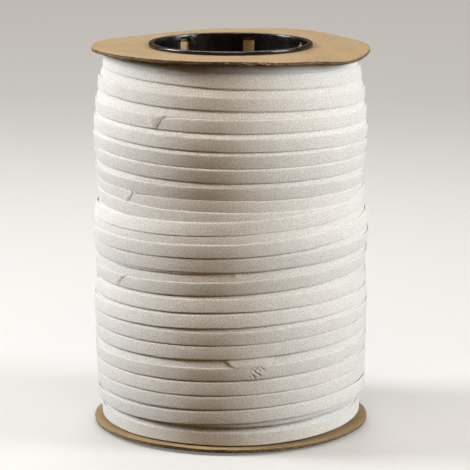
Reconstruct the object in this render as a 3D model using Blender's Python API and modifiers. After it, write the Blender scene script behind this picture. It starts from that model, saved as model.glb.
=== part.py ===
# A roll of folded cotton bias tape on a paper tube, with a chipboard flange and a black plastic hub
# at each end. It stands upright on the lower hub's lip.
# Named sizes are in millimetres and are turned into metres where a mesh is made. The front of the
# roll faces -Y. An angle on the roll is in degrees, starts at the front and grows towards +X.

import math

import bmesh
import bpy
import numpy as np
from mathutils import Matrix

MM = 0.001
GAP = 0.3  # air between pieces that touch

# Overall sizes
FLANGE_RADIUS = 90.0
BOARD = 2.3  # thickness of a flange
FLANGE_SPAN = 246.4  # under side of the lower flange to upper side of the upper one
LIP = 2.0  # height of a hub's lip
BASE = LIP + GAP  # under side of the lower flange
ROLL_HEIGHT = 2 * BASE + FLANGE_SPAN

TAPE_LOW = BASE + BOARD + GAP
TAPE_HIGH = BASE + FLANGE_SPAN - BOARD - GAP

# Core
TUBE_INNER = 50.8
TUBE_OUTER = 55.8

# Flange
FLANGE_HOLE = 51.2
BOARD_EDGE = 0.5  # the cut edge is this much rounded
BOARD_RINGS = (FLANGE_HOLE, 62.0, 74.0, FLANGE_RADIUS - 5, FLANGE_RADIUS - BOARD_EDGE)

# Hub
LIP_RADIUS = 53.0
HUB_BORE = 49.25
LIP_ROUND = 0.6
FINGER_OUTER = TUBE_INNER - GAP
FINGER_LENGTH = 22.0  # below the lip
FINGER_TAPER = 0.5  # how far a finger's tip leans in
FINGER_BEND = 4.0  # below the lip, where it starts to lean
SLOTS = 7
SLOT_WIDTH = 7.8
SLOT_AT = 166.1  # angle of the slot nearest the back, from the front
SLOT_TOP = 0.7  # from the lip's under side to the top of a slot
CUT_PAST = 2.0  # how far a cutter runs past what it cuts

# Tape
TAPE_WIDTH = 8.5
TAPE_BORE = TUBE_OUTER + GAP
LOWER_EDGE_OUT = 0.1  # the lower edge lies on the wrap below
UPPER_EDGE_IN = 0.5  # and the upper edge under the wrap above
UNDER_LAYER = 1.3  # depth of the layer that shows between wraps
NARROW_GAP = 1.4  # up to here the gap between two wraps is one crease
NARROW_DEPTH = 0.7
LEAST_GAP = 0.4  # and under this the wraps touch
STEP = 0.25  # half the height over which one wrap steps to the next
LEAST_WIDTH = 1.0  # a wrap's visible strip that is narrower is left out

# How finely round pieces are divided
COLUMNS = 48
RING_STEPS = 56
MERGE = 0.00001  # in metres
SHARP_ANGLE = 35.0

# Radius of the wound tape at each height above the lower flange's under side
ROLL_OUTLINE = (
    # height, radius
    (0.0, 84.2),
    (8.0, 85.2),
    (13.0, 86.0),
    (17.0, 87.4),
    (22.0, 88.7),
    (60.0, 89.2),
    (120.0, 89.3),
    (170.0, 88.2),
    (195.0, 88.9),
    (210.0, 87.7),
    (225.0, 86.0),
    (232.0, 84.5),
    (240.0, 81.5),
    (246.0, 80.0),
)

# Height of the tape's lower edge above the lower flange's under side, one row a turn.
# The layer under the outer one was wound from the top down and shows in the upper half.
FALLING_WRAPS = (
    # left (-60), front (0), right (+60)
    (242.2, 238.8, 236.5),
    (233.6, 229.8, 227.4),
    (219.6, 216.4, 213.8),
    (204.8, 202.6, 201.2),
    (194.2, 191.2, 189.6),
    (183.6, 180.8, 180.2),
    (174.4, 171.4, 171.2),
    (162.3, 160.3, 159.7),
    (154.5, 151.7, 151.5),
    (147.1, 144.1, 143.6),
    (137.5, 134.5, 132.8),
)
# The outer layer was wound from the bottom up, over it.
RISING_WRAPS = (
    # left (-60), front (0), right (+60)
    (3.8, 2.4, 5.5),
    (16.0, 18.0, 22.4),
    (26.6, 27.4, 31.6),
    (36.0, 36.6, 40.2),
    (45.0, 46.2, 50.8),
    (58.6, 60.0, 64.0),
    (68.0, 69.0, 72.8),
    (78.0, 80.2, 83.2),
    (88.8, 90.0, 92.8),
    (99.2, 101.0, 105.8),
    (114.8, 115.4, 118.6),
    (123.6, 124.8, 131.0),
    (137.6, 138.6, 144.6),
)
READ_AT = 60.0  # degrees to either side of the front
EDGE_EASE = (-0.04, 0.0, 0.04)  # turns over which an edge's bends are averaged
# Where each layer starts and ends, in turns from the front of its first row
FALLING_START, FALLING_END = -0.5, len(FALLING_WRAPS) - 0.8
RISING_START, RISING_END = -0.5, len(RISING_WRAPS) - 0.57

# How far the upper flange's rim stands above or below flat
TOP_WARP = (
    # angle, lift
    (-180.0, 0.5),
    (-140.0, -1.5),
    (-90.0, 0.0),
    (-60.0, 1.0),
    (0.0, 1.0),
    (30.0, -0.5),
    (55.0, -3.3),
    (90.0, -0.5),
    (115.0, -0.8),
    (150.0, 1.4),
)
BOTTOM_WARP = (
    # angle, lift
    (-180.0, 0.2),
    (-110.0, -0.3),
    (-35.0, 0.4),
    (20.0, -0.2),
    (75.0, 0.4),
    (130.0, -0.2),
)
WARP_POWER = 1.25  # the board bends a little more towards its rim

# Colours, as linear RGB
COTTON = (0.80, 0.76, 0.70)
KRAFT = (0.55, 0.37, 0.20)
TUBE_PAPER = (0.42, 0.27, 0.14)
BLACK_PLASTIC = (0.012, 0.012, 0.014)


def clear_scene():
    for thing in list(bpy.data.objects):
        bpy.data.objects.remove(thing, do_unlink=True)


def make_collection(name):
    collection = bpy.data.collections.new(name)
    bpy.context.scene.collection.children.link(collection)
    return collection


def make_material(name, colour, roughness):
    material = bpy.data.materials.new(name)
    material.use_nodes = True
    shader = material.node_tree.nodes["Principled BSDF"]
    shader.inputs["Base Color"].default_value = (*colour, 1.0)
    shader.inputs["Roughness"].default_value = roughness
    shader.inputs["Metallic"].default_value = 0.0
    return material


def place(angle, radius, height):
    """A point in metres, from an angle, a radius and a height in millimetres."""
    turn = math.radians(angle)
    return (radius * math.sin(turn) * MM, -radius * math.cos(turn) * MM, height * MM)


def finish_mesh(name, bm, material, collection):
    bmesh.ops.recalc_face_normals(bm, faces=bm.faces)
    mesh = bpy.data.meshes.new(name)
    bm.to_mesh(mesh)
    bm.free()
    mesh.materials.append(material)
    mesh.shade_smooth()
    mesh.set_sharp_from_angle(angle=math.radians(SHARP_ANGLE))
    thing = bpy.data.objects.new(name, mesh)
    collection.objects.link(thing)
    return thing


def warp_at(table, angle):
    """Lift of a flange's rim at an angle, eased between the rows of its table."""
    first, lift = table[0]
    rows = list(table) + [(first + 360.0, lift)]
    angle = (angle - first) % 360.0 + first
    for (start, low), (end, high) in zip(rows, rows[1:]):
        if angle <= end:
            share = (1 - math.cos(math.pi * (angle - start) / (end - start))) / 2
            return low + (high - low) * share
    return lift


def board_lift(table, angle, radius):
    reach = max(0.0, radius - LIP_RADIUS) / (FLANGE_RADIUS - LIP_RADIUS)
    return warp_at(table, angle) * reach**WARP_POWER


def make_flange(name, underside, table, material, collection):
    """A board disc with a round hole, bent by its warp table."""
    section = [(radius, BOARD) for radius in BOARD_RINGS]
    section += [(FLANGE_RADIUS, BOARD - BOARD_EDGE), (FLANGE_RADIUS, BOARD_EDGE)]
    section += [(radius, 0.0) for radius in reversed(BOARD_RINGS)]
    bm = bmesh.new()
    columns = []
    for step in range(RING_STEPS):
        angle = 360.0 * step / RING_STEPS
        column = []
        for radius, height in section:
            lift = board_lift(table, angle, radius)
            column.append(bm.verts.new(place(angle, radius, underside + height + lift)))
        columns.append(column)
    for left, right in zip(columns, columns[1:] + columns[:1]):
        for corner in range(len(section)):
            before = corner - 1
            bm.faces.new((left[before], left[corner], right[corner], right[before]))
    return finish_mesh(name, bm, material, collection)


def make_turned(name, profile, material, collection):
    """A closed profile of (radius, height), turned round the axis with a Screw."""
    mesh = bpy.data.meshes.new(name)
    points = [(radius * MM, 0.0, height * MM) for radius, height in profile]
    edges = [(i, (i + 1) % len(points)) for i in range(len(points))]
    mesh.from_pydata(points, edges, [])
    mesh.materials.append(material)
    thing = bpy.data.objects.new(name, mesh)
    collection.objects.link(thing)
    screw = thing.modifiers.new("turn", "SCREW")
    screw.axis = "Z"
    screw.steps = RING_STEPS
    screw.render_steps = RING_STEPS
    screw.use_merge_vertices = True
    screw.merge_threshold = MERGE
    screw.use_smooth_shade = True
    return thing


def make_slot_cutter(collection):
    """Seven bars in a star, which part the hub's sleeve into fingers."""
    depth = FINGER_OUTER - HUB_BORE + 2 * CUT_PAST
    height = FINGER_LENGTH - SLOT_TOP + CUT_PAST
    bm = bmesh.new()
    for slot in range(SLOTS):
        angle = SLOT_AT + 360.0 * slot / SLOTS
        made = bmesh.ops.create_cube(bm, size=1.0)["verts"]
        bmesh.ops.scale(bm, vec=(SLOT_WIDTH * MM, depth * MM, height * MM), verts=made)
        middle = place(0, (HUB_BORE + FINGER_OUTER) / 2, -SLOT_TOP - height / 2)
        bmesh.ops.translate(bm, vec=middle, verts=made)
        turn = Matrix.Rotation(math.radians(angle), 3, "Z")
        bmesh.ops.rotate(bm, cent=(0, 0, 0), matrix=turn, verts=made)
    mesh = bpy.data.meshes.new("slot_cutter")
    bm.to_mesh(mesh)
    bm.free()
    cutter = bpy.data.objects.new("slot_cutter", mesh)
    cutter.hide_render = True
    cutter.display_type = "WIRE"
    collection.objects.link(cutter)
    return cutter


def make_hub(name, seat, upside_down, material, parts, cutters):
    """A lip that lies on the flange, and slotted fingers that hold in the tube."""
    inner, outer, tip = HUB_BORE, LIP_RADIUS, -FINGER_LENGTH
    profile = (
        (outer - LIP_ROUND, LIP),
        (outer, LIP - LIP_ROUND),
        (outer, 0.0),
        (FINGER_OUTER, 0.0),
        (FINGER_OUTER, -FINGER_BEND),
        (FINGER_OUTER - FINGER_TAPER, tip),
        (inner - FINGER_TAPER, tip),
        (inner, -FINGER_BEND),
        (inner, LIP - LIP_ROUND / 2),
        (inner + LIP_ROUND / 2, LIP),
    )
    hub = make_turned(name, profile, material, parts)
    cutter = make_slot_cutter(cutters)
    cutter.name = name + "_slots"
    for thing in (hub, cutter):
        thing.location = (0, 0, seat * MM)
        if upside_down:
            thing.rotation_euler = (0, math.pi, 0)
    slots = hub.modifiers.new("slots", "BOOLEAN")
    slots.operation = "DIFFERENCE"
    slots.object = cutter
    return hub


def roll_radius(height):
    heights, radii = zip(*ROLL_OUTLINE)
    return float(np.interp(height - BASE, heights, radii))


def edge_height(wraps, turn):
    """Height of the tape's lower edge, at a number of turns from the first row's front."""
    reach = READ_AT / 360.0
    turns = [row + side for row in range(len(wraps)) for side in (-reach, 0.0, reach)]
    heights = [height for row in wraps for height in row]
    before = heights[0] - (heights[3] - heights[2])
    turns = [turns[0] - 1 + 2 * reach] + turns
    heights = [before] + heights
    eased = [np.interp(turn + shift, turns, heights) for shift in EDGE_EASE]
    return BASE + float(np.mean(eased))


def wraps_at(angle):
    """Each wrap that crosses a column: its tag, its lower and upper edge, and when it was wound."""
    layers = (
        ("falling", FALLING_WRAPS, FALLING_START, FALLING_END, 0),
        ("rising", RISING_WRAPS, RISING_START, RISING_END, len(FALLING_WRAPS)),
    )
    found = []
    for name, wraps, start, end, turns_before in layers:
        for row in range(-1, len(wraps) + 1):
            turn = row + angle / 360.0
            if start <= turn <= end:
                low = edge_height(wraps, turn)
                found.append(((name, row), low, low + TAPE_WIDTH, turns_before + 1 + turn))
    return found


def visible_strips(angle, bottom, top):
    """The part of each wrap that no later wrap covers, from the bottom up."""
    wraps = wraps_at(angle)
    strips = []
    for tag, low, high, wound in wraps:
        low, high = max(low, bottom), min(high, top)
        for other, over_low, over_high, wound_later in wraps:
            if wound_later <= wound:
                continue
            if over_low <= low < over_high:
                low = over_high
            if over_low < high <= over_high:
                high = over_low
        if high - low >= LEAST_WIDTH:
            strips.append((low, high, tag))
    return sorted(strips)


def column_points(angle):
    """(tag, radius, height) of each point down one side of the roll, from the bottom up."""
    rise = board_lift(BOTTOM_WARP, angle, roll_radius(BASE))
    droop = board_lift(TOP_WARP, angle, roll_radius(BASE + FLANGE_SPAN))
    bottom = TAPE_LOW + rise
    top = TAPE_HIGH + droop
    points = [("bottom", roll_radius(bottom) - UNDER_LAYER, bottom)]
    level = bottom
    for low, high, tag in visible_strips(angle, bottom, top):
        space = low - level
        if space > NARROW_GAP:
            for side, height in (("gap low", level + STEP), ("gap high", low - STEP)):
                points.append(((side, tag), roll_radius(height) - UNDER_LAYER, height))
        elif space > LEAST_GAP:
            height = (low + level) / 2
            points.append((("crease", tag), roll_radius(height) - NARROW_DEPTH, height))
        middle = (low + high) / 2
        points.append((("low", tag), roll_radius(low) + LOWER_EDGE_OUT, low + STEP))
        points.append((("belly", tag), roll_radius(middle), middle))
        points.append((("high", tag), roll_radius(high) - UPPER_EDGE_IN, high - STEP))
        level = high
    if top - level > STEP:
        points.append(("top", roll_radius(top) - UNDER_LAYER, top))
    else:
        tag, radius, height = points.pop()
        points.append(("top", radius, top))
    return points


def stitch(bm, left, right):
    """Triangles between two columns. Points with one tag are joined by an edge."""
    left_tags = [tag for tag, vert in left]
    right_tags = [tag for tag, vert in right]
    i = j = 0
    while i < len(left) - 1 or j < len(right) - 1:
        more_left = i < len(left) - 1
        more_right = j < len(right) - 1
        if more_left and more_right and left_tags[i + 1] == right_tags[j + 1]:
            bm.faces.new((left[i][1], right[j][1], right[j + 1][1]))
            bm.faces.new((left[i][1], right[j + 1][1], left[i + 1][1]))
            i += 1
            j += 1
            continue
        go_left = more_left
        if more_left and more_right:
            left_waits = left_tags[i + 1] in right_tags[j + 1 :]
            right_waits = right_tags[j + 1] in left_tags[i + 1 :]
            go_left = not left_waits
            if left_waits == right_waits:
                go_left = left[i + 1][1].co.z < right[j + 1][1].co.z
        if go_left:
            bm.faces.new((left[i][1], right[j][1], left[i + 1][1]))
            i += 1
        else:
            bm.faces.new((left[i][1], right[j][1], right[j + 1][1]))
            j += 1


def make_wound_tape(material, collection):
    """The wound form: a loft of columns whose points follow the wraps as they climb."""
    bm = bmesh.new()
    width = 360.0 / COLUMNS
    angles = [-180.0 + width * (step + 0.5) for step in range(COLUMNS)]
    columns, bores = [], []
    for angle in angles:
        points = column_points(angle)
        verts = [bm.verts.new(place(angle, radius, height)) for tag, radius, height in points]
        columns.append([(point[0], vert) for point, vert in zip(points, verts)])
        ends = (TAPE_LOW, TAPE_HIGH)
        bores.append([bm.verts.new(place(angle, TAPE_BORE, height)) for height in ends])
    # The first column once more, as the next turn's, closes the round.
    last = column_points(angles[0] + 360.0)
    columns.append([(point[0], pair[1]) for point, pair in zip(last, columns[0])])
    bores.append(bores[0])
    for step in range(COLUMNS):
        left, right = columns[step], columns[step + 1]
        near, far = bores[step], bores[step + 1]
        stitch(bm, left, right)
        bm.faces.new((near[0], near[1], far[1], far[0]))
        bm.faces.new((left[0][1], near[0], far[0], right[0][1]))
        bm.faces.new((left[-1][1], right[-1][1], far[1], near[1]))
    return finish_mesh("wound_tape", bm, material, collection)


def make_core_tube(material, collection):
    low, high = TAPE_LOW, TAPE_HIGH
    profile = ((TUBE_OUTER, high), (TUBE_OUTER, low), (TUBE_INNER, low), (TUBE_INNER, high))
    return make_turned("core_tube", profile, material, collection)


def main():
    clear_scene()
    parts = make_collection("roll_of_bias_tape")
    cutters = make_collection("cutters")
    cotton = make_material("cotton_tape", COTTON, 0.9)
    kraft = make_material("kraft_board", KRAFT, 0.85)
    paper = make_material("tube_paper", TUBE_PAPER, 0.9)
    plastic = make_material("black_plastic", BLACK_PLASTIC, 0.2)

    top_board = BASE + FLANGE_SPAN - BOARD
    make_wound_tape(cotton, parts)
    make_core_tube(paper, parts)
    make_flange("bottom_flange", BASE, BOTTOM_WARP, kraft, parts)
    make_flange("top_flange", top_board, TOP_WARP, kraft, parts)
    make_hub("bottom_hub", LIP, True, plastic, parts, cutters)
    make_hub("top_hub", ROLL_HEIGHT - LIP, False, plastic, parts, cutters)


main()
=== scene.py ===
# Looks for a roll of folded bias tape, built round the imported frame.
# Lengths are in millimetres until a mesh is made. An angle starts at the front of the roll,
# which faces -Y, and grows towards +X. Heights are measured from the floor unless a note says so.
import math

import bmesh
import bpy
import numpy as np
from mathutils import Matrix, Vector


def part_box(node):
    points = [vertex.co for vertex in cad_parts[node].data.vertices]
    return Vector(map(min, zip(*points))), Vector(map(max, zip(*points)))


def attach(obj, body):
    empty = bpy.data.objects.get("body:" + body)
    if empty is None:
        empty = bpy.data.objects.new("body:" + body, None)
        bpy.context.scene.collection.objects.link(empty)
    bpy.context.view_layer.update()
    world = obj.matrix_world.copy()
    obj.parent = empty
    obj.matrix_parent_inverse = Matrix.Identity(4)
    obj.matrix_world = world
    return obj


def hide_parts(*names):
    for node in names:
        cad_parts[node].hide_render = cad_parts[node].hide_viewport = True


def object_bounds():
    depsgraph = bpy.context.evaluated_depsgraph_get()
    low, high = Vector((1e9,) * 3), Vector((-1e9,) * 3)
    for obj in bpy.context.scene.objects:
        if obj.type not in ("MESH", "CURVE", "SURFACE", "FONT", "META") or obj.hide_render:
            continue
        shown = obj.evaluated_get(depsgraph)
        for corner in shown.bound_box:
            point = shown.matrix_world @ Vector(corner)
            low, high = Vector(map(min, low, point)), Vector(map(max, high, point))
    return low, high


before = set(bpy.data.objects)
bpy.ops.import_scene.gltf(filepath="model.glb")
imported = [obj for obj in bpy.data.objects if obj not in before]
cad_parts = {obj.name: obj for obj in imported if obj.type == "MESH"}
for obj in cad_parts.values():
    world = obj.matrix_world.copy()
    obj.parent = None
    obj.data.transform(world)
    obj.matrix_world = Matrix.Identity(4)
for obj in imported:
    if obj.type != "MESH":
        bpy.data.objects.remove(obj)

cadLow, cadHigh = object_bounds()
mm = 0.001
sharpFrom = math.radians(50)  # an edge that turns further than this is kept sharp

# Sizes that more than one piece needs
roll = {
    "height": (cadHigh.z - cadLow.z) / mm,
    "lip": 2.0,  # height of a hub's lip
    "air": 0.3,  # between pieces that touch
    "board": 2.3,  # thickness of a flange
    "flangeRadius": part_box("top_flange")[1].x / mm,
    "tubeRadius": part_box("core_tube")[1].x / mm,
    "tubeWall": 5.0,
}
lowerBoard = roll["lip"] + roll["air"]  # underside of the lower flange
upperBoard = roll["height"] - lowerBoard - roll["board"]  # underside of the upper flange
tapeFloor = lowerBoard + roll["board"] + roll["air"]
tapeCeiling = upperBoard - roll["air"]


def spot(angle, radius, height):
    turn = np.radians(angle)
    return np.stack(
        np.broadcast_arrays(radius * np.sin(turn), -radius * np.cos(turn), height), axis=-1
    )


def wander(distance, seed, longest, shortest):
    # A smooth line that drifts between about -1 and 1, the same on each run
    draw = np.random.default_rng(seed)
    total = 0.0
    for length in np.geomspace(longest, shortest, 5):
        phase = draw.uniform(0, 2 * math.pi)
        total = total + np.sin(2 * math.pi * np.asarray(distance) / length + phase)
    return total / 3.0


def ringNoise(angle, seed, slowest, quickest):
    # The same for a closed ring: whole waves round it
    draw = np.random.default_rng(seed)
    total = 0.0
    for waves in np.unique(np.geomspace(slowest, quickest, 6).astype(int)):
        phase = draw.uniform(0, 2 * math.pi)
        total = total + np.sin(np.radians(angle) * waves + phase)
    return total / 3.0


def smoothCurve(at, places, values, ease=0.8):
    # A cubic through every point, with its slopes a little flattened
    places, values = np.asarray(places, float), np.asarray(values, float)
    slopes = np.gradient(values, places) * ease
    at = np.clip(at, places[0], places[-1])
    i = np.clip(np.searchsorted(places, at, side="right") - 1, 0, len(places) - 2)
    span = places[i + 1] - places[i]
    u = (at - places[i]) / span
    start = values[i] * (1 + 2 * u) * (1 - u) ** 2 + slopes[i] * span * u * (1 - u) ** 2
    return start + values[i + 1] * u**2 * (3 - 2 * u) + slopes[i + 1] * span * u**2 * (u - 1)


def blur(values, reach):
    # A running average with soft ends, reach is in steps
    steps = np.arange(-3 * reach, 3 * reach + 1)
    weights = np.exp(-0.5 * (steps / reach) ** 2)
    padded = np.pad(values, 3 * reach, mode="edge")
    return np.convolve(padded, weights / weights.sum(), mode="valid")


def arc(centre, radius, turns):
    # Points on a circle in a cross-section, at these turns in degrees
    sides = [math.radians(turn) for turn in turns]
    return [(centre[0] + radius * math.cos(a), centre[1] + radius * math.sin(a)) for a in sides]


def sweep(section, angle):
    # Radius and height of every point of a cross-section that goes round the roll
    flat = np.array([row[:2] for row in section]) + np.zeros((len(angle), 1, 1))
    return flat[..., 0].copy(), flat[..., 1].copy()


def rowsMesh(name, points, uvs, ring=True):
    # A skin over rows of points, in mm, with UVs in metres. A ring's last row joins its first.
    along, across = points.shape[:2]
    i, j = np.meshgrid(np.arange(along if ring else along - 1), np.arange(across), indexing="ij")
    up, over = (i + 1) % along, (j + 1) % across
    corners = ((i, j), (i, over), (up, over), (up, j))
    faces = np.stack([a * across + b for a, b in corners], -1).reshape(-1, 4).tolist()
    uvCorners = ((i, j), (i, j + 1), (i + 1, j + 1), (i + 1, j))
    flat = np.stack([uvs[a, b] for a, b in uvCorners], 2).reshape(-1) * mm
    if not ring:  # its two ends are closed
        faces.append(list(range(across))[::-1])
        faces.append([(along - 1) * across + j for j in range(across)])
        flat = np.append(flat, np.zeros(4 * across))
    mesh = bpy.data.meshes.new(name)
    mesh.from_pydata((points.reshape(-1, 3) * mm).tolist(), [], faces)
    layer = mesh.uv_layers.new(name="lay")
    layer.data.foreach_set("uv", flat.astype(np.float32))
    return mesh


def strandMesh(name, strands, radii):
    # Thin threads, each along its own row of points
    sides = 5
    strands, radii = np.asarray(strands, float), np.asarray(radii, float)
    along = np.gradient(strands, axis=1)
    along /= np.linalg.norm(along, axis=2, keepdims=True)
    side = np.cross(along, (0.31, 0.22, 0.93))
    side /= np.linalg.norm(side, axis=2, keepdims=True)
    other = np.cross(along, side)
    turn = np.arange(sides) * 2 * math.pi / sides
    ring = side[:, :, None] * np.cos(turn)[:, None] + other[:, :, None] * np.sin(turn)[:, None]
    taper = np.ones(strands.shape[1])
    taper[0], taper[-1] = 0.4, 0.4
    rings = strands[:, :, None] + ring * (radii[:, None] * taper)[..., None, None]
    count, rows = strands.shape[:2]
    faces = []
    for first in range(0, count * rows * sides, rows * sides):
        last = first + (rows - 1) * sides
        for near in range(first, last, sides):
            for corner in range(sides):
                after, far = (corner + 1) % sides, near + sides
                faces.append((near + corner, near + after, far + after, far + corner))
        faces.append(tuple(range(first + sides - 1, first - 1, -1)))
        faces.append(tuple(range(last, last + sides)))
    mesh = bpy.data.meshes.new(name)
    mesh.from_pydata((rings.reshape(-1, 3) * mm).tolist(), [], faces)
    layer = mesh.uv_layers.new(name="lay")
    corners = np.zeros(len(mesh.loops), int)
    mesh.loops.foreach_get("vertex_index", corners)
    flat = rings.reshape(-1, 3)[corners][:, (0, 2)] * mm
    layer.data.foreach_set("uv", flat.ravel().astype(np.float32))
    return mesh


def putObject(name, data):
    thing = bpy.data.objects.new(name, data)
    bpy.context.scene.collection.objects.link(thing)
    return thing


def faceOutwards(mesh):
    tidy = bmesh.new()
    tidy.from_mesh(mesh)
    bmesh.ops.recalc_face_normals(tidy, faces=tidy.faces)
    tidy.to_mesh(mesh)
    tidy.free()


def standPiece(name, mesh, material, slot, *nodes):
    # Puts a finished mesh in the scene, in the place of its CAD nodes
    faceOutwards(mesh)
    mesh.materials.clear()
    mesh.materials.append(material)
    mesh.shade_smooth()
    mesh.set_sharp_from_angle(angle=sharpFrom)
    piece = putObject(name, mesh)
    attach(piece, "root")
    for node in nodes:
        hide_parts(node)
    print("piece", name, len(mesh.vertices), "points")


# Camera and light
studio = {
    "cameraPlace": (2.79, -1653.1, 453.9),
    "cameraTilt": 78.715,  # degrees up from straight down
    "lens": 197.4,
    # Radius and height of the rings of the floor, which curves up far from the roll
    "floorRings": ((5000, 0), (5700, 90), (6300, 380), (6800, 900), (7050, 1700), (7150, 6000)),
    "floorSides": 96,
    "floorGlow": 0.42,
    "floorColour": (0.43, 0.426, 0.418),
    "skyColour": (1.0, 0.54, 0.19),
    "skyPower": 0.115,
    # Place, aim, size across, size up, watts, colour, how wide it spreads
    "softboxes": (
        ("leftBox", (-1510, 120, 900), (0, 0, 150), 600, 800, 44.5, (0.93, 0.975, 1.0), 180),
        ("rightBox", (1550, -400, 680), (0, 0, 130), 700, 900, 37.5, (0.935, 0.985, 1.0), 180),
        ("topBox", (0, -800, 1150), (0, 0, 130), 600, 400, 3.3, (1.0, 0.73, 0.38), 180),
        ("crownBox", (-60, -260, 1500), (0, -60, 130), 500, 400, 5.2, (0.98, 0.99, 1.0), 180),
        ("backBox", (0, 900, 900), (0, -60, 250), 500, 160, 4, (1.0, 1.0, 1.0), 180),
        ("floorBox", (0, 2600, 2200), (0, 2600, 0), 5000, 2200, 25, (1.0, 0.99, 0.97), 110),
    ),
}


def makeCamera():
    camera = putObject("camera", bpy.data.cameras.new("camera"))
    camera.data.lens = studio["lens"]
    camera.data.sensor_width = 36.0
    camera.data.clip_start, camera.data.clip_end = 0.1, 50.0
    camera.location = Vector(studio["cameraPlace"]) * mm
    camera.rotation_euler = (math.radians(studio["cameraTilt"]), 0.0, 0.0)
    bpy.context.scene.camera = camera


def makeSoftbox(name, place, aim, width, height, watts, colour, spreadAngle):
    lamp = bpy.data.lights.new(name, "AREA")
    lamp.shape = "RECTANGLE"
    lamp.size, lamp.size_y = width * mm, height * mm
    lamp.energy = watts
    lamp.color = colour
    lamp.spread = math.radians(spreadAngle)
    box = putObject(name, lamp)
    box.location = Vector(place) * mm
    box.rotation_euler = (Vector(aim) - Vector(place)).to_track_quat("-Z", "Y").to_euler()


def makeSky():
    world = bpy.data.worlds.new("studio")
    world.use_nodes = True
    sky = world.node_tree.nodes["Background"]
    sky.inputs["Color"].default_value = (*studio["skyColour"], 1.0)
    sky.inputs["Strength"].default_value = studio["skyPower"]
    bpy.context.scene.world = world
    bpy.context.scene.view_settings.view_transform = "Standard"


def makeFloor():
    sides = studio["floorSides"]
    bm = bmesh.new()
    rings = []
    for radius, height in studio["floorRings"]:
        circle = arc((0.0, 0.0), radius, [360.0 * side / sides for side in range(sides)])
        rings.append([bm.verts.new((x * mm, y * mm, height * mm)) for x, y in circle])
    bm.faces.new(rings[0])
    for inner, outer in zip(rings, rings[1:]):
        for side in range(sides):
            after = (side + 1) % sides
            bm.faces.new((inner[side], outer[side], outer[after], inner[after]))
    mesh = bpy.data.meshes.new("floor")
    bm.to_mesh(mesh)
    bm.free()
    mesh.shade_smooth()
    floor = putObject("floor", mesh)
    paint = bpy.data.materials.new("paleFloor")
    paint.use_nodes = True
    shader = paint.node_tree.nodes["Principled BSDF"]
    shader.inputs["Base Color"].default_value = (*studio["floorColour"], 1.0)
    shader.inputs["Roughness"].default_value = 0.7
    shader.inputs["Emission Color"].default_value = (*studio["floorColour"], 1.0)
    shader.inputs["Emission Strength"].default_value = studio["floorGlow"]
    mesh.materials.append(paint)
    # The floor throws no light up at the roll
    floor.visible_diffuse, floor.visible_glossy = False, False


makeCamera()
for softbox in studio["softboxes"]:
    makeSoftbox(*softbox)
makeSky()
makeFloor()
print("studio set up")


# Small helpers for shader nodes
def putNode(tree, kind, **settings):
    node = tree.nodes.new("ShaderNode" + kind)
    for name, value in settings.items():
        setattr(node, name, value)
    return node


def feed(tree, socket, value):
    if isinstance(value, bpy.types.NodeSocket):
        tree.links.new(value, socket)
    else:
        socket.default_value = value


def sums(tree, operation, *values):
    node = putNode(tree, "Math", operation=operation)
    for socket, value in zip(node.inputs, values):
        feed(tree, socket, value)
    return node.outputs[0]


def times(tree, first, second):
    return sums(tree, "MULTIPLY", first, second)


def vectors(tree, operation, *values):
    node = putNode(tree, "VectorMath", operation=operation)
    for socket, value in zip(node.inputs, values):
        feed(tree, socket, value)
    return node.outputs[0]


def noise(tree, place, scale, detail=3.0, roughness=0.55):
    node = putNode(tree, "TexNoise")
    feed(tree, node.inputs["Vector"], place)
    feed(tree, node.inputs["Scale"], scale)
    feed(tree, node.inputs["Detail"], detail)
    feed(tree, node.inputs["Roughness"], roughness)
    return node.outputs["Fac"]


def spread(tree, value, fromLow, fromHigh, toLow, toHigh):
    node = putNode(tree, "MapRange")
    for label, number in zip(
        ("Value", "From Min", "From Max", "To Min", "To Max"),
        (value, fromLow, fromHigh, toLow, toHigh),
    ):
        feed(tree, node.inputs[label], number)
    return node.outputs["Result"]


def blendColours(tree, amount, first, second):
    node = putNode(tree, "Mix", data_type="RGBA")
    feed(tree, node.inputs[0], amount)
    for socket, colour in ((node.inputs[6], first), (node.inputs[7], second)):
        feed(tree, socket, colour if isinstance(colour, bpy.types.NodeSocket) else (*colour, 1.0))
    return node.outputs[2]


def startGroup(name, takes, gives):
    group = bpy.data.node_groups.new(name, "ShaderNodeTree")
    for label, kind, value in takes:
        socket = group.interface.new_socket(
            name=label, in_out="INPUT", socket_type="NodeSocket" + kind
        )
        if value is not None:
            socket.default_value = value
    for label in gives:
        group.interface.new_socket(name=label, in_out="OUTPUT", socket_type="NodeSocketFloat")
    return group, group.nodes.new("NodeGroupInput"), group.nodes.new("NodeGroupOutput")


def useGroup(tree, group, **values):
    node = tree.nodes.new("ShaderNodeGroup")
    node.node_tree = group
    for label, value in values.items():
        feed(tree, node.inputs[label], value)
    return node.outputs


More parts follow.
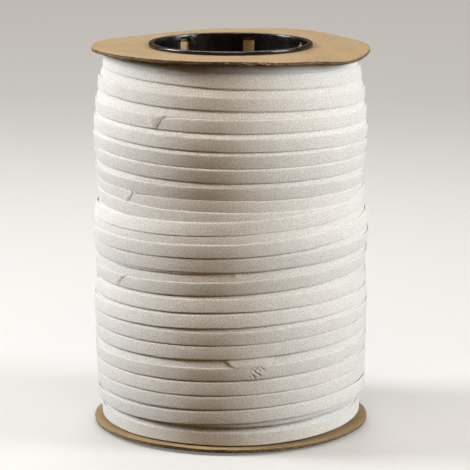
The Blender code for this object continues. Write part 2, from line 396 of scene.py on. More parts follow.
def makeWeaveGroup():
    # Plain weave seen on the bias: two sets of threads, each over and under the other, with
    # thicker stretches in some threads and a short nap
    group, start, end = startGroup(
        "biasWeave",
        (("Place", "Vector", None), ("Thread", "Float", 0.4), ("Slub", "Float", 0.5)),
        ("Height", "Shade", "Fuzz"),
    )
    place = start.outputs["Place"]
    turned = putNode(group, "VectorRotate", rotation_type="Z_AXIS")
    feed(group, turned.inputs["Vector"], place)
    feed(group, turned.inputs["Angle"], math.radians(45))
    scaled = putNode(group, "VectorMath", operation="SCALE")
    feed(group, scaled.inputs[0], turned.outputs[0])
    feed(group, scaled.inputs["Scale"], sums(group, "DIVIDE", 1 / mm, start.outputs["Thread"]))
    parts = putNode(group, "SeparateXYZ")
    feed(group, parts.inputs[0], scaled.outputs[0])
    heights = []
    for own, other, side in ((0, 1, 0.5), (1, 0, -0.5)):
        own, other = parts.outputs[own], parts.outputs[other]
        roundness = sums(group, "SINE", times(group, sums(group, "FRACT", own), math.pi))
        turn = sums(group, "COSINE", times(group, sums(group, "FLOOR", own), math.pi))
        shifted = times(group, sums(group, "SUBTRACT", other, 0.5), math.pi)
        crossing = times(group, sums(group, "COSINE", shifted), turn)
        over = sums(group, "MULTIPLY_ADD", crossing, side, 0.5)
        heights.append(times(group, roundness, over))
    weave = sums(group, "MAXIMUM", *heights)
    slubs = []
    for stretch in ((0.11, 0.75, 1.0), (0.75, 0.11, 1.0)):
        stretched = vectors(group, "MULTIPLY", scaled.outputs[0], stretch)
        slubs.append(spread(group, noise(group, stretched, 1.0, 2.0), 0.52, 0.72, 0.0, 1.0))
    slub = sums(group, "MAXIMUM", *slubs)
    thick = times(group, slub, start.outputs["Slub"])
    broad = noise(group, place, 90.0, 3.0)
    fuzz = noise(group, place, 1050.0, 2.0, 0.75)
    rough = sums(group, "MULTIPLY_ADD", fuzz, 1.7, thick)
    feed(group, end.inputs["Height"], sums(group, "ADD", weave, rough))
    mottle = sums(group, "MULTIPLY_ADD", fuzz, 0.9, times(group, broad, 0.1))
    feed(group, end.inputs["Shade"], sums(group, "MULTIPLY_ADD", thick, 0.3, mottle))
    feed(group, end.inputs["Fuzz"], fuzz)
    return group


def makeFibreGroup():
    # Pressed paper: short fibres that lie every way, with darker flecks
    group, start, end = startGroup(
        "paperFibre",
        (("Place", "Vector", None), ("Grain", "Float", 1.0)),
        ("Height", "Shade", "Fleck"),
    )
    place = start.outputs["Place"]
    fibres = []
    for stretch in ((350, 2600, 900), (2600, 350, 900)):
        stretched = vectors(group, "MULTIPLY", place, stretch)
        fibres.append(noise(group, stretched, start.outputs["Grain"], 3.0, 0.6))
    fibre = times(group, sums(group, "ADD", *fibres), 0.5)
    cloud = noise(group, place, 45.0, 4.0, 0.6)
    specks = noise(group, place, 1100.0, 1.0, 0.5)
    feed(group, end.inputs["Height"], fibre)
    grain = noise(group, place, 1300.0, 2.0, 0.7)
    mixed = sums(group, "MULTIPLY_ADD", grain, 0.45, times(group, cloud, 0.15))
    feed(group, end.inputs["Shade"], sums(group, "MULTIPLY_ADD", fibre, 0.4, mixed))
    feed(group, end.inputs["Fleck"], spread(group, specks, 0.66, 0.74, 0.0, 1.0))
    return group


weaveGroup = makeWeaveGroup()
fibreGroup = makeFibreGroup()

# Finishes
cloth = {
    "light": (0.86, 0.85, 0.825),
    "shade": (0.57, 0.552, 0.52),
    "threadLight": (0.93, 0.92, 0.89),
    "thread": 0.42,  # mm from one thread of the weave to the next
    "slub": 0.35,
    "bump": 0.16,  # mm
    "sheen": 0.25,
    "sheenSoftness": 0.55,
    "gloss": 0.25,
    "roughness": (0.82, 0.96),
}
board = {
    "light": (0.41, 0.285, 0.148),
    "dark": (0.19, 0.128, 0.06),
    "fleck": (0.17, 0.10, 0.045),
    "fibreLight": (0.62, 0.52, 0.36),
    "edgeLight": (0.36, 0.25, 0.135),
    # The cut edge is mottled between these two; the near-black dark is partly the fibres' own tone
    # and partly painted shade for an edge that gets little light
    "edgeDarkAndShade": (0.025, 0.016, 0.008),
    # Painted shade: the foot of the cut edge is near black, standing in for the shadow under the
    # board's edge
    "lipShadeLight": (0.05, 0.034, 0.018),
    "lipShadeDark": (0.008, 0.005, 0.003),
    "tubeLight": (0.50, 0.36, 0.20),
    "tubeDark": (0.28, 0.19, 0.10),
    "flecks": 0.55,
    "gloss": 0.3,
    "roughness": (0.72, 0.9),
}
plastic = {
    "colour": (0.002, 0.002, 0.003),
    # Specks a little lighter than the plastic: partly real dust and partly painted glints
    "dustAndGlint": (0.02, 0.02, 0.02),
    "dustAndGlintAmount": 0.6,
    "roughness": (0.14, 0.3),
    "waviness": 0.5,  # mm
}


def startMaterial(name, roughness):
    material = bpy.data.materials.new(name)
    material.use_nodes = True
    shader = material.node_tree.nodes["Principled BSDF"]
    shader.inputs["Roughness"].default_value = roughness
    return material, material.node_tree, shader


def addBump(tree, shader, height, depth, strength=1.0):
    bump = putNode(tree, "Bump")
    bump.inputs["Strength"].default_value = strength
    bump.inputs["Distance"].default_value = depth * mm
    feed(tree, bump.inputs["Height"], height)
    tree.links.new(bump.outputs[0], shader.inputs["Normal"])


def makeCotton(name, light, shade):
    material, tree, shader = startMaterial(name, 0.9)
    place = putNode(tree, "UVMap", uv_map="lay").outputs[0]
    weave = useGroup(tree, weaveGroup, Place=place, Thread=cloth["thread"], Slub=cloth["slub"])
    amount = spread(tree, weave["Shade"], 0.37, 0.62, 0.0, 1.0)
    feed(tree, shader.inputs["Base Color"], blendColours(tree, amount, shade, light))
    rough = spread(tree, weave["Fuzz"], 0.3, 0.7, *cloth["roughness"])
    feed(tree, shader.inputs["Roughness"], rough)
    shader.inputs["Sheen Weight"].default_value = cloth["sheen"]
    shader.inputs["Sheen Roughness"].default_value = cloth["sheenSoftness"]
    shader.inputs["Specular IOR Level"].default_value = cloth["gloss"]
    addBump(tree, shader, weave["Height"], cloth["bump"])
    return material


def makeBoard(name, light, dark, grain, bump):
    material, tree, shader = startMaterial(name, 0.85)
    place = putNode(tree, "TexCoord").outputs["Object"]
    fibre = useGroup(tree, fibreGroup, Place=place, Grain=grain)
    amount = spread(tree, fibre["Shade"], 0.40, 0.60, 0.0, 1.0)
    colour = blendColours(tree, amount, dark, light)
    flecked = times(tree, fibre["Fleck"], board["flecks"])
    feed(tree, shader.inputs["Base Color"], blendColours(tree, flecked, colour, board["fleck"]))
    rough = spread(tree, fibre["Height"], 0.3, 0.7, *board["roughness"])
    feed(tree, shader.inputs["Roughness"], rough)
    shader.inputs["Specular IOR Level"].default_value = board["gloss"]
    addBump(tree, shader, fibre["Height"], bump)
    return material


def makePlastic(name):
    material, tree, shader = startMaterial(name, 0.2)
    place = putNode(tree, "TexCoord").outputs["Object"]
    fibre = useGroup(tree, fibreGroup, Place=place, Grain=0.35)
    # Specks of dust that also stand in as painted glints
    dustAndGlint = noise(tree, place, 1600.0, 1.0)
    dustAndGlintMask = spread(tree, dustAndGlint, 0.68, 0.76, 0.0, plastic["dustAndGlintAmount"])
    base = blendColours(tree, dustAndGlintMask, plastic["colour"], plastic["dustAndGlint"])
    feed(tree, shader.inputs["Base Color"], base)
    rough = spread(tree, fibre["Shade"], 0.4, 0.65, *plastic["roughness"])
    feed(tree, shader.inputs["Roughness"], rough)
    addBump(tree, shader, noise(tree, place, 170.0, 3.0, 0.6), plastic["waviness"], 0.6)
    return material


cottonTape = makeCotton("cottonTape", cloth["light"], cloth["shade"])
sewingThread = makeCotton("sewingThread", cloth["threadLight"], cloth["light"])
kraftBoard = makeBoard("kraftBoard", board["light"], board["dark"], 1.0, 0.12)
# The cut edge: mottled fibre tone, its dark partly painted shade
kraftEdge = makeBoard("kraftEdge", board["edgeLight"], board["edgeDarkAndShade"], 0.8, 0.35)
# Painted shade for the foot of each board's cut edge
kraftLipShade = makeBoard("kraftLipShade", board["lipShadeLight"], board["lipShadeDark"], 0.8, 0.35)
kraftFibre = makeBoard("kraftFibre", board["fibreLight"], board["light"], 1.0, 0.05)
tubePaper = makeBoard("tubePaper", board["tubeLight"], board["tubeDark"], 0.6, 0.15)
blackPlastic = makePlastic("blackPlastic")
print("materials made")

flange = {
    "hole": 51.2,
    "flatTo": 53.0,  # the lip of the hub keeps the board flat out to here
    "warpPower": 1.25,
    "columns": 360,
    "plies": 5,
    "edgeRough": 0.30,
    "edgeWave": 0.06,
    "fibres": 420,  # short ones round each board
    "fibreLength": (0.5, 2.4),
    "fibreBow": (0.05, 0.32),
    "fibreRadius": (0.035, 0.075),
    "curlRadius": 0.22,
    # Strips of torn paper at the front of the upper board: angle, width in degrees, height
    "curls": (
        (-2.3, 1.6, 1.2), (4.4, 2.4, 1.3), (6.5, 1.8, 0.7), (10.6, 2.6, 1.5), (12.4, 3.0, 1.0),
        (17.2, 1.7, 1.4), (-27.0, 2.4, 1.7), (33.0, 2.2, 1.6), (-41.0, 1.8, 1.9),
    ),
    # How far a flange's rim stands above or below flat: angle, lift
    "topWarp": (
        (-180, 0.5), (-140, -1.5), (-90, 0.0), (-60, 1.0), (0, 1.0),
        (30, -0.5), (55, -3.3), (90, -0.5), (115, -0.8), (150, 1.4),
    ),
    "bottomWarp": ((-180, 0.2), (-110, -0.3), (-35, -0.1), (20, -0.7), (75, 0.1), (130, -0.2)),
}


def warpAt(table, angle):
    # Cosine steps from one row of the table to the next
    places = [row[0] for row in table] + [table[0][0] + 360.0]
    lifts = np.array([row[1] for row in table] + [table[0][1]])
    at = (np.asarray(angle, float) - places[0]) % 360.0 + places[0]
    i = np.clip(np.searchsorted(places, at, side="right") - 1, 0, len(places) - 2)
    places = np.array(places)
    share = (at - places[i]) / (places[i + 1] - places[i])
    return lifts[i] + (lifts[i + 1] - lifts[i]) * (1 - np.cos(np.pi * share)) / 2


def boardLift(table, angle, radius):
    reach = np.maximum(radius - flange["flatTo"], 0.0) / (roll["flangeRadius"] - flange["flatTo"])
    return warpAt(table, angle) * reach ** flange["warpPower"]


def makeFlange(name, node, underside, table, seed):
    thick, rim, hole = roll["board"], roll["flangeRadius"], flange["hole"]
    angle = np.arange(flange["columns"] + 1) * 360.0 / flange["columns"]
    # Radius, height, how rough: up the hole, out over the top, down the cut edge, back below
    section = [(hole, 0.5, 0.0), (hole, thick - 0.3, 0.0), (hole + 0.3, thick, 0.0)]
    section += [(radius, thick, 0.0) for radius in (54, 58, 64, 70, 76, 81, 85, 87.5, 89.0)]
    section += [(rim - 0.55, thick + 0.04, 0.1), (rim - 0.25, thick, 0.3)]
    cutTop = len(section)
    section += [(rim - 0.1, thick - 0.22, 0.6)]
    for ply in range(flange["plies"]):
        level = thick - 0.35 - (thick - 0.7) * ply / (flange["plies"] - 1)
        section += [(rim - 0.12, level + 0.12, 1.0), (rim - 0.42, level - 0.12, 1.0)]
    cutFoot = len(section)
    section += [(rim - 0.25, 0.1, 0.6), (rim - 0.7, 0.0, 0.2)]
    section += [(radius, 0.0, 0.0) for radius in (87, 82, 74, 64, 54)]
    radius, height = sweep(section, angle)
    for j, rough in enumerate(row[2] for row in section):
        if rough:
            fray = ringNoise(angle, seed + j, 9, 160) * 0.6 + ringNoise(angle, seed, 5, 60)
            radius[:, j] += flange["edgeRough"] * rough * (np.minimum(fray, 0.7) - 0.7)
            height[:, j] += flange["edgeWave"] * rough * ringNoise(angle, seed + 40 + j, 20, 150)
    lift = boardLift(table, angle[:, None], radius)
    points = spot(angle[:, None], radius, underside + height + lift)
    along = np.cumsum(np.append(0.0, np.hypot(*np.diff(np.array(section)[:, :2], axis=0).T)))
    uvs = np.zeros((len(angle), len(section) + 1, 2))
    uvs[..., 0] = np.radians(angle)[:, None] * rim
    uvs[..., 1] = np.append(along, along[-1] + 3.0)[None, :]
    mesh = rowsMesh(name, points[:-1], uvs)
    standPiece(name, mesh, kraftBoard, "kraft_board", node)
    mesh.materials.append(kraftEdge)
    mesh.materials.append(kraftLipShade)
    for face in mesh.polygons:
        ring = face.index % len(section)
        if cutTop <= ring <= cutFoot:
            # The last three rings of the cut edge, at its foot, take the painted-shade finish
            face.material_index = 1 if ring < cutFoot - 2 else 2


def makeFibres(boards):
    # Paper fibres that stand out of the cut edges: short ones all round, and a few curled strips
    draw = np.random.default_rng(19)
    t = np.linspace(0.0, 1.0, 7)
    strands, radii = [], []
    for underside, table in boards:
        for fibre in range(flange["fibres"]):
            begin = draw.uniform(0.0, 360.0)
            length = draw.uniform(*flange["fibreLength"])
            level = draw.choice((roll["board"], draw.uniform(0.1, roll["board"])))
            angle = begin + np.degrees(length / roll["flangeRadius"]) * t
            bow = draw.uniform(*flange["fibreBow"]) * np.sin(np.pi * t) ** 0.7
            rise = draw.normal(0.0, 0.25) * t + level - 0.05
            radius = roll["flangeRadius"] - 0.22 + bow
            height = underside + rise + boardLift(table, angle, roll["flangeRadius"])
            strands.append(spot(angle, radius, height))
            radii.append(draw.uniform(*flange["fibreRadius"]))
    underside, table = boards[-1]
    for begin, width, level in flange["curls"]:
        angle = begin + width * t
        height = underside + level - 0.9 * np.sin(np.pi * t) ** 2 * np.sin(3 * np.pi * t + 0.5)
        radius = roll["flangeRadius"] - 0.25 + 0.45 * np.sin(np.pi * t)
        strands.append(spot(angle, radius, height + boardLift(table, angle, radius)))
        radii.append(flange["curlRadius"])
    mesh = strandMesh("frayedFibres", strands, radii)
    standPiece("frayedFibres", mesh, kraftFibre, "kraft_board", "bottom_flange", "top_flange")


makeFlange("lowerFlange", "bottom_flange", lowerBoard, flange["bottomWarp"], 11)
makeFlange("upperFlange", "top_flange", upperBoard, flange["topWarp"], 23)
makeFibres(((lowerBoard, flange["bottomWarp"]), (upperBoard, flange["topWarp"])))

# The black plastic hub
hub = {
    "lipRadius": 53.0,
    "lipRound": 0.8,  # its outer edge
    "bore": 49.25,
    "boreRound": 0.7,  # where the lip runs down into the bore
    "fingerRadius": roll["tubeRadius"] - roll["tubeWall"] - roll["air"],
    "fingerLength": 22.0,
    "fingerTaper": 0.5,
    "fingerBend": 4.0,
    "slots": 7,
    "slotWidth": 7.8,
    "slotAt": 166.1,
    "slotTop": 0.7,
    "slotRound": 1.2,
    "steps": 196,
    "softEdge": 0.22,
}


def makeSlotCutter():
    # Seven round-shouldered bars in a star
    depth = (hub["fingerRadius"] - hub["bore"] + 4.0) * mm
    top, tip = -hub["slotTop"], -hub["fingerLength"] - 2.0
    half, soft = hub["slotWidth"] / 2, hub["slotRound"]
    outline = [(-half, tip), (half, tip)]
    outline += arc((half - soft, top - soft), soft, range(0, 91, 18))
    outline += arc((soft - half, top - soft), soft, range(90, 181, 18))
    bm = bmesh.new()
    for slot in range(hub["slots"]):
        angle = math.radians(hub["slotAt"] + 360.0 * slot / hub["slots"])
        out = Vector((math.sin(angle), -math.cos(angle), 0.0))
        side = Vector((math.cos(angle), math.sin(angle), 0.0))
        near = out * ((hub["bore"] + hub["fingerRadius"]) / 2 * mm - depth / 2)
        corners = [
            bm.verts.new(near + side * across * mm + Vector((0, 0, up * mm)))
            for across, up in outline
        ]
        face = bm.faces.new(corners)
        grown = bmesh.ops.extrude_face_region(bm, geom=[face])["geom"]
        moved = [thing for thing in grown if isinstance(thing, bmesh.types.BMVert)]
        bmesh.ops.translate(bm, vec=out * depth, verts=moved)
    bmesh.ops.recalc_face_normals(bm, faces=bm.faces)
    mesh = bpy.data.meshes.new("slotCutter")
    bm.to_mesh(mesh)
    bm.free()
    return putObject("slotCutter", mesh)


def makeHub(name, node, seat, flip):
    lip, inner, outer = roll["lip"], hub["bore"], hub["lipRadius"]
    finger, tip, lean = hub["fingerRadius"], -hub["fingerLength"], hub["fingerTaper"]
    corner, fillet = hub["lipRound"], hub["boreRound"]
    profile = [(outer, 0.0)] + arc((outer - corner, lip - corner), corner, range(0, 91, 18))
    profile += [(inner + 1.7, lip - 0.02), (inner + 1.2, lip)]
    profile += arc((inner + fillet, lip - fillet), fillet, range(90, 181, 22))
    profile += [(inner, -2.0), (inner, -hub["fingerBend"]), (inner - lean * 0.5, tip / 2)]
    profile += [(inner - lean, tip + 0.4), (inner - lean + 0.25, tip)]
    profile += [(finger - lean - 0.25, tip), (finger - lean, tip + 0.4)]
    profile += [(finger - lean * 0.4, tip / 2), (finger, -hub["fingerBend"]), (finger, 0.0)]
    angle = np.arange(hub["steps"]) * 360.0 / hub["steps"]
    points = spot(angle[:, None], *sweep(profile, angle))
    uvs = np.zeros((hub["steps"] + 1, len(profile) + 1, 2))
    sleeve = putObject("sleeve", rowsMesh("sleeve", points, uvs))
    faceOutwards(sleeve.data)
    cutter = makeSlotCutter()
    cut = sleeve.modifiers.new("slots", "BOOLEAN")
    cut.operation, cut.object = "DIFFERENCE", cutter
    soft = sleeve.modifiers.new("softEdge", "BEVEL")
    soft.width, soft.segments = hub["softEdge"] * mm, 2
    soft.limit_method, soft.angle_limit = "ANGLE", sharpFrom
    soft.harden_normals = False
    bpy.context.view_layer.update()
    graph = bpy.context.evaluated_depsgraph_get()
    mesh = bpy.data.meshes.new_from_object(sleeve.evaluated_get(graph))
    for helper in (sleeve, cutter):
        bpy.data.objects.remove(helper)
    for point in mesh.vertices:
        if flip:
            point.co.x, point.co.z = -point.co.x, -point.co.z
        point.co.z += seat * mm
    mesh.name = name
    standPiece(name, mesh, blackPlastic, "black_plastic", node)


makeHub("upperHub", "top_hub", roll["height"] - roll["lip"], False)
makeHub("lowerHub", "bottom_hub", roll["lip"], True)

# The paper tube, wound from strips whose joints show as shallow spiral steps
tube = {"columns": 144, "rows": 60, "stripWidth": 95.0, "stepDepth": 0.18, "cutRound": 0.35}


def makeTube():
    outer = roll["tubeRadius"]
    inner = outer - roll["tubeWall"]
    angle = np.arange(tube["columns"]) * 360.0 / tube["columns"]
    soft = tube["cutRound"]
    levels = np.linspace(tapeFloor + soft, tapeCeiling - soft, tube["rows"])
    section = [(inner, level) for level in levels]
    section += [(inner + soft, tapeCeiling), (outer - soft, tapeCeiling), (outer, levels[-1])]
    section += [(outer, levels[0]), (outer - soft, tapeFloor), (inner + soft, tapeFloor)]
    radius, height = sweep(section, angle)
    phase = (height[:, : tube["rows"]] / tube["stripWidth"] + angle[:, None] / 360.0) % 1.0
    radius[:, : tube["rows"]] += tube["stepDepth"] * np.clip(phase * 12, 0, 1) * (1 - phase)
    uvs = np.zeros((tube["columns"] + 1, len(section) + 1, 2))
    uvs[:-1, :-1, 0] = np.radians(angle)[:, None] * inner
    uvs[:-1, :-1, 1] = height
    points = spot(angle[:, None], radius, height)
    mesh = rowsMesh("coreTube", points, uvs)
    standPiece("coreTube", mesh, tubePaper, "tube_paper", "core_tube")


makeTube()

# The wound tape
winding = {
    "width": 8.5,
    "thick": 0.75,
    "steps": 200,  # in one turn
    "fineStep": 0.14,  # degrees, near a join in the tape
    "cell": 0.5,  # height of a cell in the table of what has been wound so far
    "waver": 0.07,  # how far the tape's edges stray
    "footRoom": 0.75,  # least room between the lowest turn and the lower board
    "headRoom": 1.3,
    "lean": 1.7,  # how far the tape may tilt across its width to lie on what is below
    "bridge": (0.8, 0.45),  # how much of a bump below it lifts its lower and its upper edge
    "smooth": 5,  # steps over which the tape evens out what is below
    "crown": 0.16,
    "crumple": (0.035, 0.03),
    "peek": 0.12,  # how far the inner fold peeks out everywhere
    "unevenness": (0.10, 0.08),  # of the roll under the two layers
    # Under the lowest turn the inner winding is cut back: how far in, up to which height above
    # its foot, and over how much height it comes out again
    "undercut": (5.0, 1.3, 0.6),
    "innerRows": 380,
    # How deep the gap above a turn is, as a share of the drop, from one turn to the next
    "recess": {"falling": ((0.0, 1.5),), "rising": ((11.5, 1.5), (11.7, -0.1))},
    "drop": 0.95,  # from a turn's upper edge in to its lower one
    # Where two turns nearly touch, the lower one's upper edge lies in by this much
    "trench": {"falling": 0.2, "rising": 0.55},
    "gapRange": (0.6, 9.0),
    "trenchGap": (1.5, 4.0),  # the widest gap that is all trench, and the narrowest that is none
    # How far the lower edge stands off what is below it, from one turn to the next
    "lift": {
        "falling": ((8.6, 0.05), (8.9, -0.45)),
        "rising": ((1.4, 0.5), (1.75, 0.1), (2.3, 0.1), (2.6, 0.5), (11.6, 0.5), (12.4, 0.6)),
    },
    # Height above the lower board's underside, radius of the finished roll
    "outline": (
        (0, 84.2), (10.5, 84.9), (15.5, 84.5), (18, 86.1), (22, 86.8), (26, 88.0), (31, 88.4),
        (42, 88.8), (50, 88.8), (60, 89.2), (72, 89.5), (82, 89.8), (90, 89.3), (98, 88.4),
        (106, 88.3), (112, 88.9), (118, 89.1), (126, 89.8), (135, 89.5), (142, 88.2), (148, 86.7),
        (156, 86.2), (164, 87.0), (171, 88.0), (180, 88.6), (195, 89.2), (210, 87.8), (225, 86.0),
        (232, 84.4), (239, 81.8), (243, 78.5), (246, 74.0),
    ),
    # Height of the tape's lower edge above the same place at these angles, one row a turn.
    # First the layer that was wound from the top down,
    "readAngles": (-60.0, -30.0, 0.0, 30.0, 60.0),
    "falling": (
        (242.2, 240.2, 238.8, 237.5, 236.5),
        (233.6, 231.8, 229.8, 228.4, 227.4),
        (219.6, 217.6, 216.4, 215.0, 213.8),
        (204.8, 203.6, 202.6, 202.0, 201.2),
        (194.2, 192.4, 191.2, 190.6, 189.6),
        (183.6, 181.8, 180.8, 180.4, 180.2),
        (174.4, 172.6, 171.4, 171.2, 171.2),
        (162.3, 160.7, 160.3, 160.1, 159.7),
        (154.5, 152.5, 151.7, 151.2, 151.3),
        (147.1, 144.9, 144.1, 143.7, 143.4),
    ),
    "fallingStart": ((-0.5, 243.5),),  # turns from the first row's front, height
    "fallingEnd": ((9.74, 137.2),),
    # and then the one that was wound over it from the bottom up.
    "rising": (
        (3.8, 2.4, 2.4, 3.6, 5.5),
        (16.0, 15.8, 15.4, 16.8, 20.2),
        (16.2, 16.2, 18.0, 20.2, 22.4),
        (26.6, 26.4, 27.4, 29.4, 31.6),
        (36.0, 35.6, 36.6, 38.2, 40.2),
        (45.0, 45.2, 46.2, 48.2, 50.8),
        (58.6, 58.8, 60.0, 62.2, 64.0),
        (68.0, 68.2, 69.0, 71.0, 72.8),
        (78.0, 78.8, 80.2, 82.0, 83.2),
        (88.8, 88.8, 90.0, 91.4, 92.8),
        (99.2, 99.4, 101.0, 103.2, 105.8),
        (114.8, 114.8, 115.4, 117.2, 118.6),
        (123.6, 123.8, 124.8, 127.2, 131.0),
        (137.6, 137.6, 138.6, 141.0, 144.6),
    ),
    "risingStart": ((-0.5, 3.0),),
    "risingEnd": ((13.2, 148.0), (13.43, 150.5)),
    # The tape's lower side has two folds, one on the other. Here the inner one peeks out.
    # Layer, row, angle, reach in degrees, how far
    "peeks": (
        ("rising", 11, -42, 26, 1.5),
        ("rising", 11, -14, 14, 0.8),
        ("falling", 1, 20, 60, 0.5),
        ("rising", 1, 40, 40, 0.5),
    ),
}
# Joins in the tape, where two cut ends are sewn together on the slant. Each has its layer and
# row, and its angle at the tape's lower and upper edge. "doubled" is a join whose one end lies
# folded over the other. "puff" is how far the double cloth stands up and "reach" how wide it is,
# "groove" the depth of the line between the two ends, "step" how much narrower the tape is after
# it, and "pull" how deep the stitches draw it in. "facet" is the crease where the double cloth
# begins: its angle at the lower and upper edge, and how far it stands up. "crumple" is the height
# of the small creases and "tufts" the number of thick fibres.
joins = (
    {"layer": "falling", "row": 3, "low": -31.6, "high": -28.4, "doubled": True,
     "puff": 0.27, "groove": 0.22, "reach": 6.5, "step": 1.5, "pull": 0.02,
     "facet": (-37.5, -36.5, 0.06), "crumple": 0.07, "tufts": 40},
    {"layer": "falling", "row": 8, "low": -49.3, "high": -43.9, "doubled": True,
     "puff": 0.21, "groove": 0.18, "reach": 4.0, "step": 1.3, "pull": 0.05,
     "facet": (-52.5, -49.5, 0.08), "crumple": 0.15, "tufts": 2},
    {"layer": "rising", "row": 10, "low": -55.0, "high": -48.4, "doubled": True,
     "puff": 0.21, "groove": 0.16, "reach": 5.0, "step": 0.5, "pull": 0.04,
     "facet": (-59.5, -54.5, 0.1), "crumple": 0.12, "tufts": 14},
    {"layer": "rising", "row": 5, "low": 8.6, "high": 15.6, "doubled": False,
     "puff": 0.10, "groove": 0.20, "reach": 7.0, "step": 0.0, "pull": 0.10,
     "facet": (6.7, 0.6, 0.45), "crumple": 0.4, "tufts": 5},
)
seam = {
    "edgeSoft": 0.12,  # how soft the edge of the upper end is
    "grooveAt": 0.2,
    "grooveWidth": 0.15,
    "swellAt": -0.55,  # where the double cloth stands highest, and how wide, as shares of its reach
    "swellWidth": 0.5,
    "closedFrom": 0.7,  # the share of the tape's width from which a fold closes over the groove
    "creaseSoft": 0.35,
    "doubledReach": 7.0,
    "plainReach": 14.0,
    "stitchBand": 1.5,
    "slitRadius": 89.0,
    "slitWidth": 0.4,
}
stitch = {
    "pitch": 2.1,
    "radius": 0.091,
    "length": 1.215,
    "lift": 0.10,
    "above": 0.14,  # height of the threads and fibres over the cloth
    "fibres": 34,  # fine ones at each join
    # Reach of a fine fibre and of a tuft, its bow, its height above the rest, its radius
    "fine": {"reach": (0.6, 1.5), "bow": 0.35, "rise": (0.04, 0.2), "base": 0.02,
             "radius": (0.044, 0.0935)},
    "tuft": {"reach": (0.8, 2.0), "bow": 0.5, "rise": (0.02, 0.12), "base": -0.03,
             "radius": (0.07, 0.13)},
}
# Where a stitch pulls the cloth into a slit: layer, row, how far across its lower and upper end
# lie, their angles, depth
slits = (
    ("rising", 5, 2.0, 6.0, 12.3, 9.2, 0.95), ("rising", 5, 5.0, 8.3, 14.1, 12.0, 0.75),
    ("rising", 5, 0.6, 3.2, 10.3, 8.6, 0.7), ("falling", 3, 0.5, 3.0, -34.9, -35.8, 0.15),
    ("rising", 10, 0.8, 3.2, -56.6, -57.8, 0.5),
)
# Layer, row, angles of its ends, how far it hangs below the tape's lower edge, as a loop or by
# one end where that is negative, how far out it lies at the edge and at its lowest, radius
looseThreads = (
    ("falling", 3, -23.6, -20.2, 2.7, (0.7, 2.2), 0.20),
    ("rising", 11, 2.5, 3.0, -3.2, (0.2, 1.2), 0.24),
)
ear = {
    "row": 5, "left": (1.2, -2.6), "right": (17.0, 21.0), "reach": 6.0, "slope": 1.7,
    "sink": 1.6, "thick": 0.4, "crumple": 0.10,
}
outOfSight = -50.0  # the height given to a turn that isn't there
nothingAbove = 400.0
farIn = -9.0
cell = winding["cell"]
cellFloors = np.arange(0.0, roll["height"], cell)
columnAngles = np.arange(winding["steps"]) * 360.0 / winding["steps"]


def outlineAt(height):
    heights, radii = zip(*winding["outline"])
    return smoothCurve(height - lowerBoard, heights, radii)


middleRadius = outlineAt(roll["height"] / 2)
turnLength = 2 * math.pi * middleRadius


def turnEdges(angle):
    # Height of the lower edge of every turn that shows, one row for each, at these angles,
    # how deep a trench above it may be, and how deep the gap above it is
    lows, trenches, recesses = [], [], []
    for layer in ("falling", "rising"):
        first, last = winding[layer + "Start"][0][0], winding[layer + "End"][-1][0]
        for row in range(-1, len(winding[layer]) + 1):
            turn = row + angle / 360.0
            shows = (turn >= first) & (turn <= last)
            lows.append(np.where(shows, edgeCurve(layer, turn), outOfSight))
            trenches.append(winding["trench"][layer])
            recesses.append(np.interp(turn, *zip(*winding["recess"][layer])))
    return np.array(lows), trenches, recesses


def shingleLevel(angle, height):
    # The turns lie like shingles: each leans in from its upper edge, and what shows between
    # two of them slopes in from the edge below it to the foot of the one above
    level = np.full(height.shape, farIn)
    lows, trenches, recesses = turnEdges(angle)
    narrow, wide = winding["trenchGap"]
    for low, trench, deep in zip(lows, trenches, recesses):
        high = low + winding["width"]
        following = np.where(lows > high - 2.0, lows, nothingAbove).min(0)
        gap = np.clip(following - high, *winding["gapRange"])
        crest = -trench * (1 - np.clip((gap - narrow) / (wide - narrow), 0, 1))
        fall = winding["drop"] + crest
        up = height - high[:, None]
        share = up / gap[:, None]
        recess = np.where(share < 1.0, deep[:, None] * np.abs(share) ** 1.3, -farIn)
        lean = np.where(up < 0, -up / winding["width"], recess)
        level = np.maximum(level, crest[:, None] - fall[:, None] * lean)
    return np.maximum(level, -winding["drop"] * 1.5)


def innerRadius(angle, height):
    # The roll under the two layers that show
    height = np.broadcast_to(height, (len(angle), height.shape[1]))
    patchy, spiral = winding["unevenness"]
    uneven = patchy * wander(height, 3, 60.0, 9.0)
    uneven = uneven + spiral * np.sin(np.radians(angle)[:, None] * 3 + height / 31.0)
    return outlineAt(height) - winding["thick"] + shingleLevel(angle, height) + uneven


def edgeCurve(layer, turns):
    places, heights = zip(*winding[layer + "Start"])
    places, heights = list(places), list(heights)
    for row, values in enumerate(winding[layer]):
        places += [row + angle / 360.0 for angle in winding["readAngles"]]
        heights += values
    for place, height in winding[layer + "End"]:
        places.append(place)
        heights.append(height)
    return lowerBoard + smoothCurve(turns, places, heights, 0.75)


